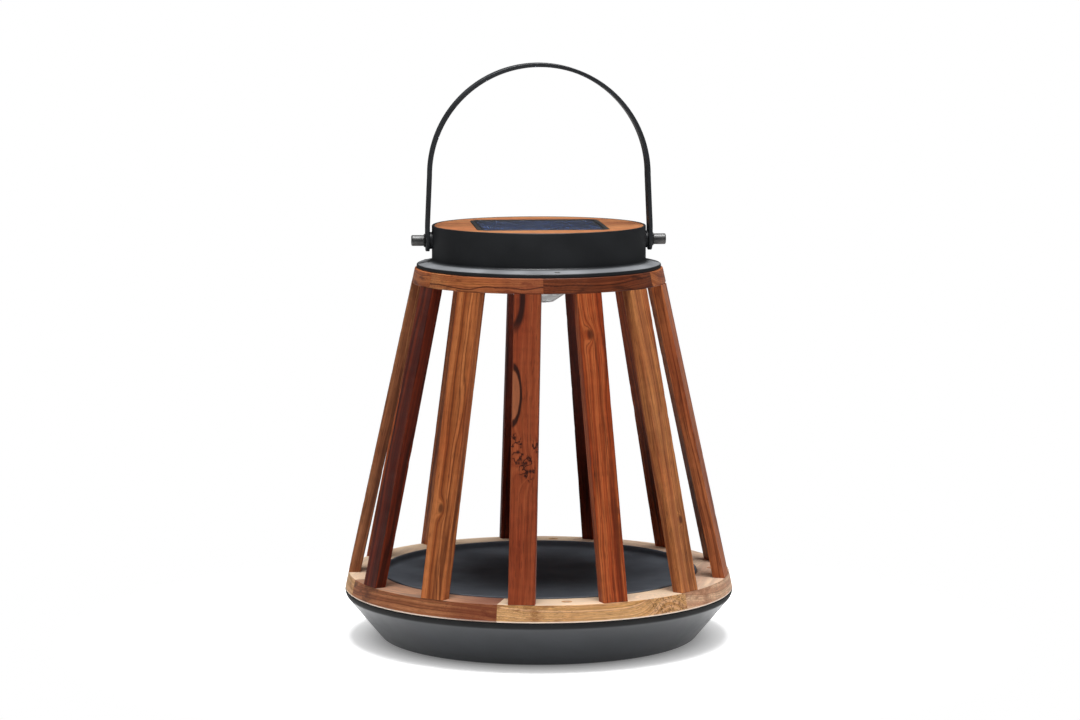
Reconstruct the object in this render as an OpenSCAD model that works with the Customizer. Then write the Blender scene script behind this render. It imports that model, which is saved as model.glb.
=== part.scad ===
// Solar garden lantern: a dished steel base, a cage of leaning timber slats between two glued timber rings,
// and a steel cap that holds a solar lamp module and carries a strap bail.
// +Z is up, the bail's pins lie along X, and the origin is on the axis at the underside of the rubber pads.
// Angles round the axis are counted from the front (-Y) towards +X.

/* [Cage] */
// Outer radius of the base and of the lower ring's underside
base_r = 135; // [132:1:138]
// Outer radius of the upper ring's underside
neck_r = 87.8; // [87:0.2:89]
// Height from the lower ring's underside to the upper ring's underside
cage_h = 213.2; // [190:1:240]
// Number of slats
slat_count = 13; // [11:1:13]
// Width of a slat
slat_w = 18; // [14:1:20]
// Thickness of a slat
slat_t = 8; // [7:0.5:9]
// Angle of the first slat from the front
slat_start = -10; // [-13:1:-7]
// Height of the lower ring
low_ring_h = 11.8; // [10:0.2:14]
// Height of the upper ring
top_ring_h = 10.2; // [9:0.2:13]

/* [Base bowl] */
// Height of the bowl, from its underside to its rim
bowl_h = 33.5; // [32:0.5:40]
// Radius where the bowl's cone would meet its floor
foot_r = 109.5; // [105:0.5:114]
// Thickness of the bowl's and the tray's sheet
sheet_t = 1.5; // [1:0.1:1.8]

/* [Cap] */
// Outer radius of the flange
flange_r = 84.3; // [83:0.1:85]
// Thickness of the flange's plate inside the drum
flange_t = 3.7; // [3.5:0.1:4.5]
// Height of the flange's outer edge
flange_edge_t = 2.6; // [2.4:0.1:3]
// Rise of the flange's sloping top from its edge to the drum
flange_rise = 2.4; // [1.6:0.1:2.8]
// Outer radius of the drum
drum_r = 73.8; // [73:0.1:74.5]
// Height of the drum above the flange
drum_h = 25.5; // [25:0.5:32]
// Side of the square solar panel
panel_w = 90; // [84:1:92]

/* [Bail] */
// Height of the arch's centre above the pins
arch_rise = 44.9; // [30:0.1:70]
// Outer radius of the arch
arch_r = 76.7; // [76:0.1:77]
// Thickness of the strap
strap_t = 2.75; // [2.5:0.05:2.75]
// Width of the strap
strap_w = 15; // [12:0.5:16]

/* [Hidden] */
$fn = 96;
eps = 0.01;
big = 400;

// Heights of the main faces
foot_t = 1.5;
ring_z = foot_t + bowl_h;
ring_top_z = ring_z + low_ring_h;
neck_z = ring_z + cage_h;
cap_z = neck_z + top_ring_h;
floor_z = cap_z + flange_t;
drum_z = floor_z + drum_h;

// The cone that the rings' outer faces and the slats share
cone_slope = (base_r - neck_r) / cage_h;
lean = atan(cone_slope);
function cone_r(z) = base_r - cone_slope * (z - ring_z);

// Timber rings
ring_parts = 6;
part_angle = 360 / ring_parts;
low_ring_bore_r = 110.35;
top_ring_bore_r = 64;
low_joint_angle = -17;
top_joint_angle = -3;
slat_step = 360 / slat_count;

// Screws into the ends of the slats
slat_screw_r = 1.75;
slat_screw_l = 26;
slat_head_r = 3;
slat_head_h = 2;
slat_head_depth = 4;

// Screws at mid gap through the lower ring and the bowl's inner flange
ring_screw_gaps = [0, 3, 6, 10];
ring_screw_at_r = 121;
ring_screw_r = 1.75;
ring_head_r = 3.5;
ring_head_h = 1.9;
ring_nut_r = 3.2;
ring_nut_h = 2.4;

// Base bowl
bowl_lip_h = 3;
bowl_foot_fillet = 4;
bowl_shoulder_fillet = 7.5;
bowl_flange_bore_r = 111.5;
bowl_angle = atan2(bowl_h - bowl_lip_h, base_r - foot_r);

// Inner tray: a shallow spherical dish with a rounded, upright lip that stands just proud of the lower ring
tray_r = 110.1;
tray_proud = 0.8;
tray_lip_h = 3.2;
tray_depth = 7.9;
tray_top_z = ring_top_z + tray_proud;
tray_floor_z = tray_top_z - tray_lip_h - tray_depth;
tray_corner_r = 4;
tray_corner_at_r = tray_r - tray_corner_r;
tray_dish_r = (pow(tray_corner_at_r, 2) + pow(tray_depth, 2) - pow(tray_corner_r, 2))
    / (2 * (tray_depth - tray_corner_r));
tray_dish_angle = asin(tray_corner_at_r / (tray_dish_r - tray_corner_r));

// Pads, posts and screws under the base
pad_count = 4;
pad_at_r = 95;
pad_r = 7;
post_count = 3;
post_at_r = 40;
post_r = 5;
post_screw_r = 2;
post_screw_l = 7;
post_head_r = 4;
post_head_h = 1.2;

// Cap
drum_wall = 1.5;
cap_bore_r = 60;
ledge_r = 66;
ledge_t = 1;
disc_t = 5;
disc_z = drum_z - 0.2 - disc_t;
disc_clear = 0.2;
rim_round = 0.6;
drum_fillet = 1.2;
cap_screw_gaps = [0, 4, 9];
cap_screw_at_r = 79.2;
cap_screw_r = 1.5;
cap_head_r = 2.4;
cap_head_h = 1.1;
cap_seat_z = cap_z + 2.8;
cap_pocket_r = 2.65;
cap_screw_l = 12;
flange_slope = atan(flange_rise / (flange_r - drum_r));
function flange_top(r) = cap_z + flange_edge_t + (flange_r - r) * tan(flange_slope);

// Solar panel
panel_corner = 8;
panel_clear = 0.2;
panel_proud = 0.2;
bezel_border = 3;
bezel_floor = 1.2;
cell_t = 2.6;
cover_t = 1;

// Lamp module inside the cap
gasket_t = 1;
housing_r = 59.7;
housing_wall = 2;
housing_floor_t = 2;
housing_lip_r = 65.8;
housing_lip_t = 2;
housing_lip_z = floor_z + gasket_t;
housing_top_z = disc_z;
module_floor_z = cap_z + housing_floor_t;
module_screw_count = 4;
module_screw_at_r = 62.9;
module_screw_r = 1.25;
module_head_r = 2.4;
module_head_h = 1.6;
module_screw_l = 5;

// Battery and its holder
cell_r = 7.1;
cell_l = 49;
cell_tip_r = 2.75;
cell_tip_l = 1.5;
holder_l = 58;
holder_w = 18;
holder_h = 9;
holder_y = 33;
holder_base_t = 1.5;
contact_t = 0.5;
contact_w = 9;

// Circuit board, switch and button
board_w = 44;
board_d = 26;
board_t = 1.6;
board_y = -34;
board_post_h = 5.6;
board_post_r = 2.5;
board_post_inset = 3;
board_z = module_floor_z + board_post_h;
switch_w = 8;
switch_h = 2.5;
button_r = 5;
button_hole_r = 5.3;
button_below = 2.5;
button_collar_r = 6.5;
button_collar_t = 1;
button_gap = 0.3;

// Lamp
lens_top_r = 19.5;
lens_end_r = 10;
lens_h = 23.9;
lens_flare_h = 6;
lens_wall = 2;
lens_lip_r = 22;
lens_lip_t = 1.5;
collar_r = 25;
collar_h = 4;
lamp_board_r = 15;
lamp_board_t = 1.2;
lamp_hole_r = 13;
lamp_clear = 0.2;
emitter_count = 3;
emitter_at_r = 6;
emitter_w = 5;
emitter_h = 1;
emitter_dome_r = 1.8;

// Leads
lead_r = 0.6;
lead_joint_r = 0.7;

// Bail and its bolts
pin_z = drum_z - 10.4;
strap_in_x = 75.5;
strap_out_x = strap_in_x + strap_t;
strap_end_h = 10;
bolt_bore_r = 2.55;
bolt_shoulder_r = 2.5;
bolt_thread_r = 2;
boss_r = 5.9;
boss_x = strap_in_x - 0.2;
washer_r = 4.6;
washer_t = 0.95;
washer_x = strap_out_x + 0.2;
knob_x = washer_x + washer_t;
knob_r = 3.75;
knob_l = 8.6;
knob_chamfer = 0.7;
bolt_end_x = 66.5;
nut_across = 7;
nut_t = 3.2;
nut_x = 68.9;

// Finishes
black_coat = "#25282c";
tray_coat = "#3c3f43";
timber_light = "#b98d63";
timber_red = "#8a4b2a";
timber_dark = "#54261a";
timber_mid = "#9a5f38";
timber_pink = "#c49a7c";
steel = "#8d9092";
dark_steel = "#3b3d40";
rubber = "#1c1c1c";
black_plastic = "#202224";
low_ring_tones = [timber_light, timber_pink, timber_pink, timber_light, timber_light, timber_red];
top_ring_tones = [timber_red, timber_light, timber_mid, timber_light, timber_mid, timber_mid];
slat_tones = [timber_red, timber_red, timber_mid, timber_red, timber_mid, timber_red, timber_dark,
    timber_dark, timber_mid, timber_red, timber_mid, timber_dark, timber_mid];

function two_digits(i) = str(i < 9 ? "0" : "", i + 1);
function slat_name(i) = str("slat_", two_digits(i));
function low_part_name(i) = str("lower_ring_segment_", i + 1);
function top_part_name(i) = str("upper_ring_segment_", i + 1);

// Points along an arc, both ends included
function arc(cx, cy, r, from, to, steps) =
    [for (i = [0:steps]) let (a = from + (to - from) * i / steps) [cx + r * cos(a), cy + r * sin(a)]];

function gap_angle(k) = slat_start + slat_step * (k + 0.5);

module spin_to(angle) {
    rotate([0, 0, angle])
        children();
}

// Places children on a slat's centre line: Z runs up the slat, -Y is outward
module on_slat(i) {
    spin_to(slat_start + i * slat_step)
        translate([0, slat_t / 2 / cos(lean) - base_r, ring_z])
            rotate([-lean, 0, 0])
                children();
}

// Copies children at even steps round the axis, at a radius
module ring_of(count, at_r, first = 0) {
    for (i = [0:count - 1])
        spin_to(first + i * 360 / count)
            translate([0, -at_r, 0])
                children();
}

// Copies children at the middle of chosen gaps between the slats
module at_gaps(gaps, at_r) {
    for (k = gaps)
        spin_to(gap_angle(k))
            translate([0, -at_r, 0])
                children();
}

module ring(outer_r, inner_r, h) {
    difference() {
        cylinder(r = outer_r, h = h);
        translate([0, 0, -1])
            cylinder(r = inner_r, h = h + 2);
    }
}

module rounded_square(side, corner) {
    square([side, side - 2 * corner], center = true);
    square([side - 2 * corner, side], center = true);
    for (x = [-1, 1], y = [-1, 1])
        translate([x * (side / 2 - corner), y * (side / 2 - corner)])
            circle(r = corner);
}

// A wire through a list of points, with ball joints a hair thicker than the wire
module wire(points) {
    for (i = [0:len(points) - 2]) {
        run = points[i + 1] - points[i];
        length = norm(run);
        translate(points[i])
            rotate([0, acos(run.z / length), atan2(run.y, run.x)])
                cylinder(r = lead_r, h = length, $fn = 16);
    }
    for (i = [1:len(points) - 2])
        translate(points[i])
            sphere(r = lead_joint_r, $fn = 32);
}

// ---- Base ----

// Half outline of the bowl's skin, drawn in by a distance
function bowl_skin(inset) = let (
    foot_cx = foot_r - bowl_foot_fillet * tan(bowl_angle / 2),
    shoulder_z = bowl_h - bowl_lip_h + bowl_shoulder_fillet * tan((90 - bowl_angle) / 2)
) concat(
    arc(foot_cx, bowl_foot_fillet, bowl_foot_fillet - inset, -90, bowl_angle - 90, 6),
    arc(base_r - bowl_shoulder_fillet, shoulder_z, bowl_shoulder_fillet - inset, bowl_angle - 90, 0, 6)
);

module base_bowl() {
    color(black_coat)
        translate([0, 0, foot_t])
            difference() {
                rotate_extrude()
                    polygon(concat([[0, 0]], bowl_skin(0), [[base_r, bowl_h], [0, bowl_h]]));
                rotate_extrude()
                    polygon(concat(
                        [[0, sheet_t]],
                        bowl_skin(sheet_t),
                        [[base_r - sheet_t, bowl_h - sheet_t], [bowl_flange_bore_r, bowl_h - sheet_t]],
                        [[bowl_flange_bore_r, bowl_h + 1], [0, bowl_h + 1]]
                    ));
                at_gaps(ring_screw_gaps, ring_screw_at_r)
                    translate([0, 0, bowl_h - sheet_t - 1])
                        cylinder(r = ring_screw_r, h = sheet_t + 2);
                ring_of(post_count, post_at_r)
                    translate([0, 0, -1])
                        cylinder(r = post_screw_r, h = sheet_t + 2);
            }
}

// Half outline of the dish, drawn in by a distance
function dish_skin(inset) = let (
    corner_z = tray_floor_z + tray_dish_r - (tray_dish_r - tray_corner_r) * cos(tray_dish_angle)
) concat(
    arc(0, tray_floor_z + tray_dish_r, tray_dish_r - inset, -90, tray_dish_angle - 90, 16),
    arc(tray_corner_at_r, corner_z, tray_corner_r - inset, tray_dish_angle - 90, 0, 8)
);

module dish_below_skin() {
    rotate_extrude()
        polygon(concat(dish_skin(0), [[tray_r, tray_top_z], [0, tray_top_z]]));
}

module inner_tray() {
    color(tray_coat)
        difference() {
            dish_below_skin();
            rotate_extrude()
                polygon(concat(
                    dish_skin(sheet_t),
                    [[tray_r - sheet_t, tray_top_z + 1], [0, tray_top_z + 1]]
                ));
        }
}

module rubber_pads() {
    color(rubber)
        ring_of(pad_count, pad_at_r, 45)
            cylinder(r = pad_r, h = foot_t);
}

module tray_posts() {
    color(steel)
        difference() {
            ring_of(post_count, post_at_r)
                translate([0, 0, foot_t + sheet_t])
                    cylinder(r = post_r, h = tray_floor_z);
            dish_below_skin();
            ring_of(post_count, post_at_r)
                cylinder(r = post_screw_r, h = foot_t + post_screw_l);
        }
}

module tray_screws() {
    color(dark_steel)
        ring_of(post_count, post_at_r) {
            translate([0, 0, foot_t - post_head_h])
                cylinder(r = post_head_r, h = post_head_h);
            translate([0, 0, foot_t])
                cylinder(r = post_screw_r, h = post_screw_l);
        }
}

// ---- Timber rings and slats ----

module slat_screw_lower() {
    translate([0, 0, slat_head_depth - slat_head_h])
        cylinder(r = slat_head_r, h = slat_head_h);
    translate([0, 0, slat_head_depth - eps])
        cylinder(r = slat_screw_r, h = slat_screw_l);
}

module slat_screw_lower_hole() {
    translate([0, 0, -slat_head_depth])
        cylinder(r = slat_head_r, h = 2 * slat_head_depth);
    cylinder(r = slat_screw_r, h = slat_head_depth + slat_screw_l);
}

// The upper screw is the lower one turned over at the upper ring's top
module at_slat_top() {
    translate([0, 0, (cap_z - ring_z) / cos(lean)])
        rotate([180, 0, 0])
            children();
}

module low_ring_hole_set() {
    for (i = [0:slat_count - 1])
        on_slat(i)
            slat_screw_lower_hole();
    at_gaps(ring_screw_gaps, ring_screw_at_r) {
        translate([0, 0, ring_z - 1])
            cylinder(r = ring_screw_r, h = low_ring_h + 2);
        translate([0, 0, ring_top_z - ring_head_h])
            cylinder(r1 = ring_screw_r, r2 = ring_head_r, h = ring_head_h);
    }
}

module top_ring_hole_set() {
    for (i = [0:slat_count - 1])
        on_slat(i)
            at_slat_top()
                slat_screw_lower_hole();
    at_gaps(cap_screw_gaps, cap_screw_at_r)
        translate([0, 0, cap_seat_z - cap_screw_l])
            cylinder(r = cap_screw_r, h = cap_screw_l);
}

// One glued segment of a ring whose outer face follows the cone
module ring_segment(z, h, bore_r, from) {
    spin_to(from - 90)
        rotate_extrude(angle = part_angle)
            polygon([[bore_r, z], [cone_r(z), z], [cone_r(z + h), z + h], [bore_r, z + h]]);
}

module lower_ring_segment(i) {
    color(low_ring_tones[i])
        difference() {
            ring_segment(ring_z, low_ring_h, low_ring_bore_r, low_joint_angle + i * part_angle);
            low_ring_hole_set();
        }
}

module upper_ring_segment(i) {
    color(top_ring_tones[i])
        difference() {
            ring_segment(neck_z, top_ring_h, top_ring_bore_r, top_joint_angle + i * part_angle);
            top_ring_hole_set();
        }
}

module slat(i) {
    color(slat_tones[i])
        difference() {
            intersection() {
                on_slat(i)
                    translate([-slat_w / 2, -slat_t / 2, 0])
                        cube([slat_w, slat_t, big]);
                translate([-big / 2, -big / 2, ring_top_z])
                    cube([big, big, neck_z - ring_top_z]);
            }
            on_slat(i) {
                slat_screw_lower_hole();
                at_slat_top()
                    slat_screw_lower_hole();
            }
        }
}

module slat_screws_lower() {
    color(dark_steel)
        for (i = [0:slat_count - 1])
            on_slat(i)
                slat_screw_lower();
}

module slat_screws_upper() {
    color(dark_steel)
        for (i = [0:slat_count - 1])
            on_slat(i)
                at_slat_top()
                    slat_screw_lower();
}

module ring_screws() {
    color(dark_steel)
        at_gaps(ring_screw_gaps, ring_screw_at_r) {
            translate([0, 0, ring_z - sheet_t - ring_nut_h])
                cylinder(r = ring_screw_r, h = low_ring_h + sheet_t + ring_nut_h);
            translate([0, 0, ring_top_z - ring_head_h])
                cylinder(r1 = ring_screw_r, r2 = ring_head_r, h = ring_head_h);
        }
}

module ring_nuts() {
    color(steel)
        at_gaps(ring_screw_gaps, ring_screw_at_r)
            translate([0, 0, ring_z - sheet_t - ring_nut_h])
                difference() {
                    cylinder(r = ring_nut_r, h = ring_nut_h, $fn = 6);
                    translate([0, 0, -1])
                        cylinder(r = ring_screw_r, h = ring_nut_h + 2);
                }
}

// ---- Cap ----

module cap_shell() {
    inner_r = drum_r - drum_wall;
    edge_cx = flange_r - rim_round;
    fillet_cx = drum_r + drum_fillet;
    color(black_coat)
        difference() {
            rotate_extrude()
                polygon(concat(
                    [[cap_bore_r, cap_z]],
                    arc(edge_cx, cap_z + rim_round, rim_round, -90, 0, 4),
                    arc(edge_cx, flange_top(edge_cx) - rim_round / cos(flange_slope), rim_round,
                        0, 90 - flange_slope, 4),
                    arc(fillet_cx, flange_top(fillet_cx) + drum_fillet / cos(flange_slope), drum_fillet,
                        270 - flange_slope, 180, 5),
                    arc(drum_r - drum_wall / 2, drum_z - drum_wall / 2, drum_wall / 2, 0, 180, 8),
                    [[inner_r, disc_z], [ledge_r, disc_z], [ledge_r, disc_z - ledge_t]],
                    [[inner_r, disc_z - ledge_t], [inner_r, floor_z], [cap_bore_r, floor_z]]
                ));
            translate([-big / 2, 0, pin_z])
                rotate([0, 90, 0])
                    cylinder(r = bolt_thread_r, h = big);
            at_gaps(cap_screw_gaps, cap_screw_at_r) {
                translate([0, 0, cap_z - 1])
                    cylinder(r = cap_screw_r, h = flange_t + 2);
                translate([0, 0, cap_seat_z])
                    cylinder(r = cap_pocket_r, h = flange_t);
            }
            ring_of(module_screw_count, module_screw_at_r, 45)
                translate([0, 0, housing_lip_z + housing_lip_t - module_screw_l])
                    cylinder(r = module_screw_r, h = module_screw_l);
        }
}

module cap_screws() {
    color(dark_steel)
        at_gaps(cap_screw_gaps, cap_screw_at_r) {
            translate([0, 0, cap_seat_z])
                cylinder(r = cap_head_r, h = cap_head_h);
            translate([0, 0, cap_seat_z - cap_screw_l])
                cylinder(r = cap_screw_r, h = cap_screw_l);
        }
}

module top_disc() {
    color(timber_light)
        translate([0, 0, disc_z])
            difference() {
                cylinder(r = drum_r - drum_wall - disc_clear, h = disc_t);
                translate([0, 0, -1])
                    linear_extrude(disc_t + 2)
                        rounded_square(panel_w + 2 * panel_clear, panel_corner + panel_clear);
            }
}

module panel_bezel() {
    color(black_plastic)
        translate([0, 0, disc_z])
            difference() {
                linear_extrude(disc_t + panel_proud)
                    rounded_square(panel_w, panel_corner);
                translate([0, 0, bezel_floor])
                    linear_extrude(disc_t)
                        rounded_square(panel_w - 2 * bezel_border, panel_corner - bezel_border);
            }
}

module solar_cells() {
    color("#2c3a55")
        translate([0, 0, disc_z + bezel_floor])
            linear_extrude(cell_t)
                rounded_square(panel_w - 2 * bezel_border, panel_corner - bezel_border);
}

module panel_cover() {
    color("#6f86a8", 0.4)
        translate([0, 0, disc_z + bezel_floor + cell_t])
            linear_extrude(cover_t)
                rounded_square(panel_w - 2 * bezel_border, panel_corner - bezel_border);
}

// ---- Lamp module ----

module module_screw_set(r, h) {
    ring_of(module_screw_count, module_screw_at_r, 45)
        translate([0, 0, housing_lip_z + housing_lip_t - module_screw_l])
            cylinder(r = r, h = h);
}

module cap_gasket() {
    color(rubber)
        difference() {
            translate([0, 0, floor_z])
                ring(housing_lip_r, cap_bore_r, gasket_t);
            module_screw_set(module_screw_r, module_screw_l);
        }
}

module module_housing() {
    color(black_plastic)
        difference() {
            union() {
                rotate_extrude()
                    polygon([
                        [0, cap_z],
                        [housing_r, cap_z],
                        [housing_r, housing_lip_z],
                        [housing_lip_r, housing_lip_z],
                        [housing_lip_r, housing_lip_z + housing_lip_t],
                        [housing_r, housing_lip_z + housing_lip_t],
                        [housing_r, housing_top_z],
                        [housing_r - housing_wall, housing_top_z],
                        [housing_r - housing_wall, module_floor_z],
                        [0, module_floor_z]
                    ]);
                for (x = [-1, 1], y = [-1, 1])
                    translate([
                        x * (board_w / 2 - board_post_inset),
                        board_y + y * (board_d / 2 - board_post_inset),
                        module_floor_z
                    ])
                        cylinder(r = board_post_r, h = board_post_h);
            }
            translate([0, 0, cap_z - 1])
                cylinder(r = lamp_hole_r, h = big);
            translate([0, 0, module_floor_z - lamp_board_t + lamp_clear])
                cylinder(r = lamp_board_r + lamp_clear, h = lamp_board_t);
            translate([0, board_y, cap_z - 1])
                cylinder(r = button_hole_r, h = housing_floor_t + 2);
            module_screw_set(module_screw_r, module_screw_l);
        }
}

module module_screws() {
    color(steel) {
        module_screw_set(module_screw_r, module_screw_l);
        translate([0, 0, module_screw_l])
            module_screw_set(module_head_r, module_head_h);
    }
}

module battery_cell() {
    color("#5d7f4a")
        translate([-cell_l / 2, holder_y, module_floor_z + holder_base_t + cell_r])
            rotate([0, 90, 0]) {
                cylinder(r = cell_r, h = cell_l);
                cylinder(r = cell_tip_r, h = cell_l + cell_tip_l);
            }
}

module battery_holder() {
    color(black_plastic)
        difference() {
            translate([-holder_l / 2, holder_y - holder_w / 2, module_floor_z])
                cube([holder_l, holder_w, holder_h]);
            translate([-cell_l / 2 - contact_t, holder_y, module_floor_z + holder_base_t + cell_r])
                rotate([0, 90, 0])
                    cylinder(r = cell_r, h = cell_l + cell_tip_l + 2 * contact_t);
        }
}

module battery_contacts() {
    color(steel)
        for (x = [-cell_l / 2 - contact_t, cell_l / 2 + cell_tip_l])
            translate([x, holder_y - contact_w / 2, module_floor_z + holder_base_t + cell_r - contact_w / 2])
                cube([contact_t, contact_w, contact_w]);
}

module circuit_board() {
    chip_w = 7;
    chip_h = 1.2;
    color("#1f5a3a")
        translate([-board_w / 2, board_y - board_d / 2, board_z])
            cube([board_w, board_d, board_t]);
    color(black_plastic)
        for (x = [-12, 0])
            translate([x - chip_w / 2, board_y - chip_w / 2, board_z + board_t])
                cube([chip_w, chip_w, chip_h]);
    color(steel)
        translate([14, board_y, board_z + board_t])
            cylinder(r = 3, h = 6);
}

module lamp_board() {
    color("#d9dbd6")
        translate([0, 0, module_floor_z - lamp_board_t + lamp_clear])
            cylinder(r = lamp_board_r, h = lamp_board_t);
}

module light_emitters() {
    under_z = module_floor_z - lamp_board_t + lamp_clear - emitter_h;
    color("#f2dc8c")
        ring_of(emitter_count, emitter_at_r) {
            translate([-emitter_w / 2, -emitter_w / 2, under_z])
                cube([emitter_w, emitter_w, emitter_h]);
            translate([0, 0, under_z])
                difference() {
                    sphere(r = emitter_dome_r, $fn = 32);
                    cylinder(r = 2 * emitter_dome_r, h = 2 * emitter_dome_r);
                }
        }
}

module lens() {
    foot_z = cap_z - lens_h;
    color("#dfe8ec", 0.35)
        rotate_extrude()
            polygon([
                [0, foot_z],
                [lens_end_r, foot_z],
                [lens_top_r - 0.8, foot_z + lens_flare_h],
                [lens_top_r, foot_z + lens_flare_h + 2],
                [lens_top_r, cap_z - lens_lip_t],
                [lens_lip_r, cap_z - lens_lip_t],
                [lens_lip_r, cap_z],
                [lens_top_r - lens_wall, cap_z],
                [lens_top_r - lens_wall, foot_z + lens_flare_h + 2],
                [lens_end_r - 1, foot_z + lens_wall],
                [0, foot_z + lens_wall]
            ]);
}

module lens_collar() {
    color(black_plastic)
        translate([0, 0, cap_z - collar_h])
            difference() {
                cylinder(r = collar_r, h = collar_h);
                translate([0, 0, -1])
                    cylinder(r = lens_top_r, h = collar_h + 2);
                translate([0, 0, collar_h - lens_lip_t])
                    cylinder(r = lens_lip_r, h = lens_lip_t + 1);
            }
}

module switch_body() {
    color(steel)
        translate([-switch_w / 2, board_y - switch_w / 2, board_z - switch_h])
            cube([switch_w, switch_w, switch_h]);
}

module push_button() {
    color("#4a4d50")
        translate([0, board_y, 0]) {
            translate([0, 0, cap_z - button_below])
                cylinder(r = button_r, h = button_below + housing_floor_t + button_gap + eps);
            translate([0, 0, module_floor_z + button_gap])
                cylinder(r = button_collar_r, h = button_collar_t);
        }
}

module panel_leads() {
    color("#a02020")
        for (x = [-8, -4])
            wire([
                [x, board_y - 9, board_z + board_t],
                [x, board_y - 9, disc_z - 4],
                [x, board_y + 12, disc_z - 3],
                [x, board_y + 12, disc_z]
            ]);
}

module lamp_leads() {
    board_top = module_floor_z + lamp_clear;
    color("#303030")
        for (x = [-2, 2])
            wire([
                [x, board_y + 10, board_z + board_t],
                [x, board_y + 10, board_z + 5],
                [x, -8, board_z + 4],
                [x, -8, board_top]
            ]);
}

// ---- Bail ----

// Places children at each pin, with Z pointing outward along the pin
module at_pins() {
    for (side = [0, 180])
        rotate([0, 0, side])
            translate([0, 0, pin_z])
                rotate([0, 90, 0])
                    children();
}

module bail_strap() {
    leg = [
        [strap_out_x, 0],
        [strap_out_x, strap_end_h],
        [arch_r, arch_rise],
        [arch_r - strap_t, arch_rise],
        [strap_in_x, strap_end_h],
        [strap_in_x, 0]
    ];
    color(black_coat)
        difference() {
            union() {
                translate([0, 0, pin_z + arch_rise])
                    rotate([90, 0, 0])
                        rotate_extrude(angle = 180)
                            translate([arch_r - strap_t, -strap_w / 2])
                                square([strap_t, strap_w]);
                for (side = [0, 180])
                    rotate([0, 0, side])
                        translate([0, strap_w / 2, pin_z])
                            rotate([90, 0, 0])
                                linear_extrude(strap_w)
                                    polygon(leg);
                at_pins()
                    translate([0, 0, strap_in_x])
                        cylinder(r = strap_w / 2, h = strap_t);
            }
            at_pins()
                cylinder(r = bolt_bore_r, h = big / 2);
        }
}

module bail_bolts() {
    color(steel)
        at_pins() {
            translate([0, 0, bolt_end_x])
                cylinder(r = bolt_thread_r, h = boss_x - bolt_end_x + eps);
            translate([0, 0, boss_x])
                cylinder(r = bolt_shoulder_r, h = knob_x - boss_x + eps);
            translate([0, 0, knob_x])
                cylinder(r = knob_r, h = knob_l - knob_chamfer);
            translate([0, 0, knob_x + knob_l - knob_chamfer])
                cylinder(r1 = knob_r, r2 = knob_r - knob_chamfer, h = knob_chamfer);
        }
}

module bail_washers() {
    color(rubber)
        at_pins()
            translate([0, 0, washer_x])
                ring(washer_r, bolt_shoulder_r, washer_t);
}

module bail_bosses() {
    color(black_coat)
        difference() {
            at_pins()
                translate([0, 0, drum_r - 1])
                    cylinder(r = boss_r, h = boss_x - drum_r + 1);
            cylinder(r = drum_r, h = big, $fn = 360);
            at_pins()
                cylinder(r = bolt_thread_r, h = big / 2);
        }
}

module bail_nuts() {
    color(steel)
        at_pins()
            translate([0, 0, nut_x])
                difference() {
                    cylinder(r = nut_across / 2 / cos(30), h = nut_t, $fn = 6);
                    translate([0, 0, -1])
                        cylinder(r = bolt_thread_r, h = nut_t + 2);
                }
}

// ---- Nodes ----

base_bowl();
inner_tray();
rubber_pads();
tray_posts();
tray_screws();
for (i = [0:ring_parts - 1]) lower_ring_segment(i);
for (i = [0:ring_parts - 1]) upper_ring_segment(i);
for (i = [0:slat_count - 1]) slat(i);
slat_screws_lower();
slat_screws_upper();
ring_screws();
ring_nuts();
cap_shell();
cap_screws();
top_disc();
panel_bezel();
solar_cells();
panel_cover();
cap_gasket();
module_housing();
module_screws();
battery_holder();
battery_cell();
battery_contacts();
circuit_board();
lamp_board();
light_emitters();
lens();
lens_collar();
switch_body();
push_button();
panel_leads();
lamp_leads();
bail_strap();
bail_bolts();
bail_washers();
bail_bosses();
bail_nuts();
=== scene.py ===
import math

import bmesh
import bpy
from mathutils import Matrix, Vector, noise


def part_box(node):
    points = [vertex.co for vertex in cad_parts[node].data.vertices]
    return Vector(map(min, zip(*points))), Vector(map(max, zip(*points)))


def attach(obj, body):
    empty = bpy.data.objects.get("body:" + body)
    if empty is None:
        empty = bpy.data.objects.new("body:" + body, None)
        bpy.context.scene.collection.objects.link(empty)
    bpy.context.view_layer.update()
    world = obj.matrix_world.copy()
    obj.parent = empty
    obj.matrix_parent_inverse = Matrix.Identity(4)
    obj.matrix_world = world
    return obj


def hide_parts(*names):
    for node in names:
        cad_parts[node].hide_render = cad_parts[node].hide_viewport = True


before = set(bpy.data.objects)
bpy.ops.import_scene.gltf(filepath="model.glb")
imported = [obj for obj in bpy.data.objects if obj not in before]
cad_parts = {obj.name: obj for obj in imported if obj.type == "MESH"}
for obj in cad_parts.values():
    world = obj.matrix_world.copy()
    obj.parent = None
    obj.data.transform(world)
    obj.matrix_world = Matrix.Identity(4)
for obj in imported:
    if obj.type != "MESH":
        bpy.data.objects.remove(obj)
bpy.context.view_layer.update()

MM = 0.001


# ---- Places, read from the frame ----

def radius_at(node, z, reach=0.2 * MM):
    """The largest distance from the axis among a node's corners near a height."""
    corners = [v.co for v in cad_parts[node].data.vertices if abs(v.co.z - z) < reach]
    return max(math.hypot(c.x, c.y) for c in corners)


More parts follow.
